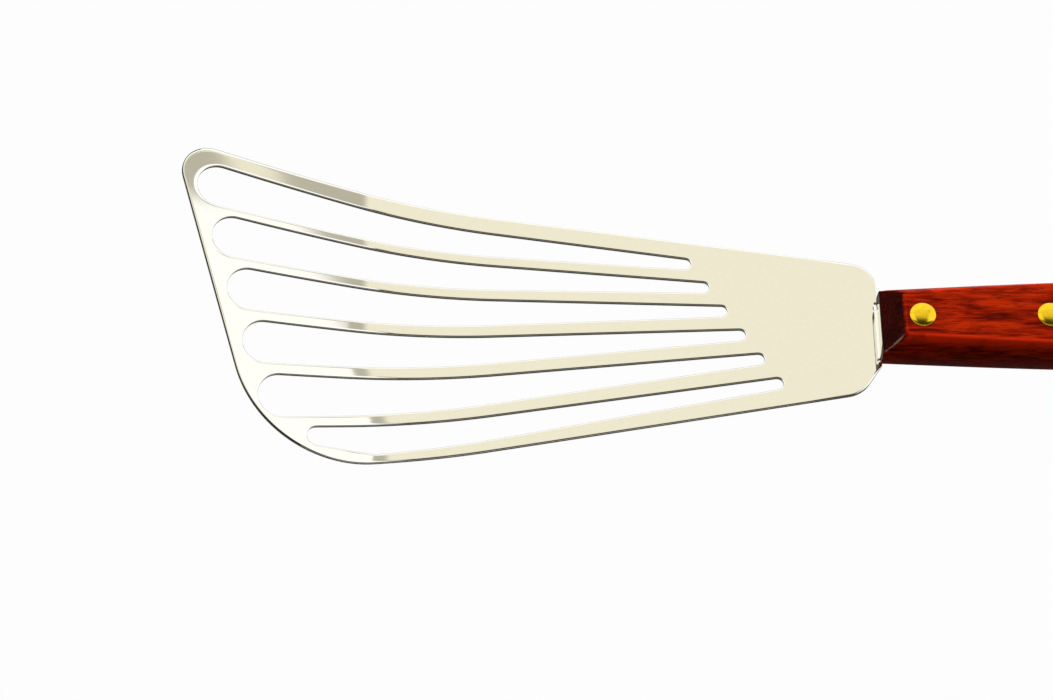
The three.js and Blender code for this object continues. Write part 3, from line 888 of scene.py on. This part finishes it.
stage = {
    "floorSize": 4.0, "floorDrop": 0.0002, "floorGrey": (0.1, 0.1, 0.1, 1), "paleShare": 0.98,
    "white": (1, 1, 1, 1), "cream": (0.93, 0.885, 0.735, 1), "boxWhite": (1, 1, 0.99, 1),
    "cameraSide": 0.05, "wallLevel": 0.5, "lowLevel": 0.65, "gapLevel": 0.55, "patchLevel": 0.45,
    "boxLevel": 1.12, "whiteLevel": 1.0,
    # where the studio's parts begin and end, as shares of a direction's x, y or z
    "wallTop": (0.64, 0.52), "sideTurn": (-0.05, 0.36), "lowTop": (0.1, 0.5), "gapEdge": (-0.055, -0.03),
    "patchLeft": (0.419, 0.4225), "patchRight": (0.433, 0.4295), "patchFront": (0.52, 0.526),
    "leftBox": (-0.32, -0.38), "rightBox": (-0.004, 0.004), "boxTurn": (0.438, 0.468),
    "boxEdge": (0.352, 0.4185), "boxFront": (-0.25, -0.05), "boxBack": (0.5145, 0.523),
    "boxSide": (0.45, 0.46), "backdrop": (0.57, 0.66),
    "sunStrength": 1.5, "sunFrom": (0.1, 0.85, 0.5), "sunSpread": 40, "sunColour": (1, 0.96, 0.88),
}
shot = {"lens": 85, "sensor": 36, "distance": 552, "tilt": math.radians(28),
        "target": (-76.7, -3.956, 0.9), "clipStart": 0.01}


# White to the camera and in reflections, grey to the light that bounces off it
def makeFloor():
    material = bpy.data.materials.new("paleFloor")
    material.use_nodes = True
    tree = material.node_tree
    tree.nodes.clear()
    path = tree.nodes.new("ShaderNodeLightPath").outputs
    seen = calc(tree, "MAXIMUM", path["Is Camera Ray"], path["Is Glossy Ray"])
    share = calc(tree, "MULTIPLY", seen, stage["paleShare"])
    shaded = addNode(tree, "ShaderNodeBsdfDiffuse", {"Color": stage["floorGrey"]}).outputs[0]
    values = {"Color": stage["white"], "Strength": stage["whiteLevel"]}
    white = addNode(tree, "ShaderNodeEmission", values).outputs[0]
    both = addNode(tree, "ShaderNodeMixShader", {0: share, 1: shaded, 2: white}).outputs[0]
    addNode(tree, "ShaderNodeOutputMaterial", {"Surface": both})
    half = stage["floorSize"] / 2
    corners = [(-half, -half), (half, -half), (half, half), (-half, half)]
    mesh = bpy.data.meshes.new("floor")
    mesh.from_pydata([(x, y, -stage["floorDrop"]) for x, y in corners], [], [(0, 1, 2, 3)])
    newPiece("floor", mesh, [material])


def studioLight(tree, colour, level):
    return addNode(tree, "ShaderNodeBackground", {"Color": colour, "Strength": level}).outputs[0]


# Studio world: cream overhead and behind, dim on the camera's side, a softbox on the left and on the
# right, with a dim gap and a pale patch beside the right one. Only reflections see a paler wall low on
# the camera's side, which keeps the steel from going black, and a white backdrop far behind
def makeWorld():
    s = stage
    world = bpy.data.worlds.new("studio")
    world.use_nodes = True
    tree = world.node_tree
    tree.nodes.clear()
    way = tree.nodes.new("ShaderNodeTexCoord").outputs["Generated"]
    x, y, z = addNode(tree, "ShaderNodeSeparateXYZ", {0: way}).outputs
    path = tree.nodes.new("ShaderNodeLightPath").outputs
    mirrored = path["Is Glossy Ray"]
    wall = calc(tree, "MULTIPLY", mirrored, fade(tree, z, *s["wallTop"], 0.0, s["wallLevel"]))
    level = fade(tree, y, *s["sideTurn"], calc(tree, "ADD", wall, s["cameraSide"]))
    level = calc(tree, "MULTIPLY", level, fade(tree, z, *s["lowTop"], s["lowLevel"]))
    slanted = calc(tree, "SUBTRACT", x, fade(tree, y, *s["boxTurn"], *s["boxEdge"]))
    level = calc(tree, "MULTIPLY", level, fade(tree, slanted, *s["gapEdge"], 1.0, s["gapLevel"]))
    patch = calc(tree, "MULTIPLY", fade(tree, x, *s["patchLeft"]), fade(tree, x, *s["patchRight"]))
    patch = calc(tree, "MULTIPLY", patch, fade(tree, y, *s["patchFront"], 0.0, s["patchLevel"]))
    level = calc(tree, "ADD", level, patch)
    back = calc(tree, "MAXIMUM", fade(tree, y, *s["boxBack"], 1.0, 0.0), fade(tree, x, *s["boxSide"]))
    depth = calc(tree, "MULTIPLY", back, fade(tree, y, *s["boxFront"]))
    boxes = calc(tree, "MAXIMUM", fade(tree, x, *s["leftBox"]), fade(tree, slanted, *s["rightBox"]))
    backdrop = calc(tree, "MULTIPLY", mirrored, fade(tree, y, *s["backdrop"]))
    bright = calc(tree, "MAXIMUM", calc(tree, "MULTIPLY", boxes, depth), backdrop)
    sky = studioLight(tree, s["cream"], level)
    lamp = studioLight(tree, s["boxWhite"], s["boxLevel"])
    studio = addNode(tree, "ShaderNodeMixShader", {0: bright, 1: sky, 2: lamp}).outputs[0]
    white = studioLight(tree, s["white"], s["whiteLevel"])
    both = addNode(tree, "ShaderNodeMixShader", {0: path["Is Camera Ray"], 1: studio, 2: white})
    addNode(tree, "ShaderNodeOutputWorld", {"Surface": both.outputs[0]})
    scene.world = world


def makeSun():
    sun = bpy.data.lights.new("backLight", "SUN")
    sun.energy = stage["sunStrength"]
    sun.color = stage["sunColour"]
    sun.angle = math.radians(stage["sunSpread"])
    holder = bpy.data.objects.new("backLight", sun)
    holder.visible_glossy = False     # it lights the wood and leaves the polished metal to the softboxes
    scene.collection.objects.link(holder)
    holder.rotation_euler = Vector(stage["sunFrom"]).to_track_quat("Z", "Y").to_euler()


def makeCamera():
    camera = bpy.data.cameras.new("camera")
    camera.lens = shot["lens"]
    camera.sensor_width = shot["sensor"]
    camera.clip_start = shot["clipStart"]
    holder = bpy.data.objects.new("camera", camera)
    scene.collection.objects.link(holder)
    back = Vector((0, -math.sin(shot["tilt"]), math.cos(shot["tilt"]))) * shot["distance"] * mm
    holder.location = Vector(toFrame(*shot["target"])) + back
    holder.rotation_euler = (shot["tilt"], 0, 0)
    scene.camera = holder


makeFloor()
makeWorld()
makeSun()
makeCamera()
print("stage, light and camera set")
